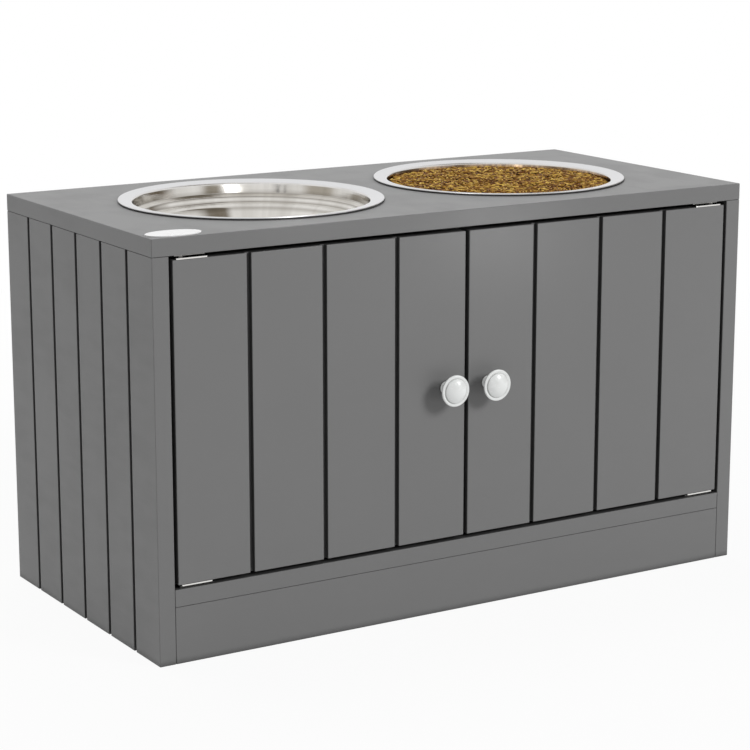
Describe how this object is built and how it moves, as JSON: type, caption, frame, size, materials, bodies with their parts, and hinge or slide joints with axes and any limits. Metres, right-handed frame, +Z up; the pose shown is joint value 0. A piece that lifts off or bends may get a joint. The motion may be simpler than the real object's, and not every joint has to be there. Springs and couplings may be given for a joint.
{
  "type": "elevated dog feeder with storage",
  "caption": "Low grooved cabinet that holds steel bowls in its top at eating height, with hinged doors over a storage space.",
  "frame": {"origin": "on the floor, at the middle of the whole footprint, knobs included", "axes": "+X to the right as seen from the doors, +Y to the rear, +Z up"},
  "size_m": [0.6, 0.3108, 0.3585],
  "materials": {
    "grey_paint": "smooth matt grey paint on fibreboard",
    "back_board": "thin fibreboard, matt grey",
    "white_knob": "glossy white",
    "white_plastic": "moulded white plastic",
    "magnet": "dull dark ferrite",
    "zinc_plate": "zinc plated steel",
    "zinc_cast": "dull die cast zinc",
    "hinge_steel": "bright nickel plated steel",
    "stainless_steel": "satin rim, polished inside",
    "dry_food": "dry brown kibble",
    "dowel_wood": "bare beech",
    "white_badge": "smooth white, blank"
  },
  "bodies": {
    "cabinet": {"top_panel": "grey_paint", "left_side_panel": "grey_paint", "right_side_panel": "grey_paint", "bottom_panel": "grey_paint", "kick_board": "grey_paint", "back_panel": "back_board", "catch_housing": "white_plastic", "catch_magnets": "magnet", "catch_pole_plates": "zinc_plate", "catch_screws": "zinc_plate", "cabinet_hinge_screws": "zinc_plate", "badge": "white_badge", "top_cam_bolts": "zinc_plate", "top_cam_locks": "zinc_cast", "top_dowels": "dowel_wood", "bottom_cam_bolts": "zinc_plate", "bottom_cam_locks": "zinc_cast", "bottom_dowels": "dowel_wood", "kick_board_cam_bolts": "zinc_plate", "kick_board_cam_locks": "zinc_cast", "kick_board_dowels": "dowel_wood", "left_upper_hinge_cabinet_leaf": "hinge_steel", "left_upper_hinge_pin": "hinge_steel", "left_lower_hinge_cabinet_leaf": "hinge_steel", "left_lower_hinge_pin": "hinge_steel", "right_upper_hinge_cabinet_leaf": "hinge_steel", "right_upper_hinge_pin": "hinge_steel", "right_lower_hinge_cabinet_leaf": "hinge_steel", "right_lower_hinge_pin": "hinge_steel"},
    "left_door": {"left_door": "grey_paint", "left_knob": "white_knob", "left_knob_screw": "zinc_plate", "left_strike_plate": "zinc_plate", "left_strike_screw": "zinc_plate", "left_door_hinge_screws": "zinc_plate", "left_upper_hinge_door_leaf": "hinge_steel", "left_lower_hinge_door_leaf": "hinge_steel"},
    "right_door": {"right_door": "grey_paint", "right_knob": "white_knob", "right_knob_screw": "zinc_plate", "right_strike_plate": "zinc_plate", "right_strike_screw": "zinc_plate", "right_door_hinge_screws": "zinc_plate", "right_upper_hinge_door_leaf": "hinge_steel", "right_lower_hinge_door_leaf": "hinge_steel"},
    "left_bowl": {"left_bowl": "stainless_steel"},
    "right_bowl": {"right_bowl": "stainless_steel", "dog_food": "dry_food"}
  },
  "joints": [
    {"name": "left_door_hinge", "type": "hinge", "parent": "cabinet", "child": "left_door", "pos_m": [-0.2715, -0.1266, 0.2025], "axis": [0, 0, -1], "range_deg": [0, 110]},
    {"name": "right_door_hinge", "type": "hinge", "parent": "cabinet", "child": "right_door", "pos_m": [0.2715, -0.1266, 0.2025], "axis": [0, 0, 1], "range_deg": [0, 110]},
    {"name": "left_bowl_lift", "type": "slide", "parent": "cabinet", "child": "left_bowl", "axis": [0, 0, 1], "range_m": [0, 0.08]},
    {"name": "right_bowl_lift", "type": "slide", "parent": "cabinet", "child": "right_bowl", "axis": [0, 0, 1], "range_m": [0, 0.08]}
  ]
}
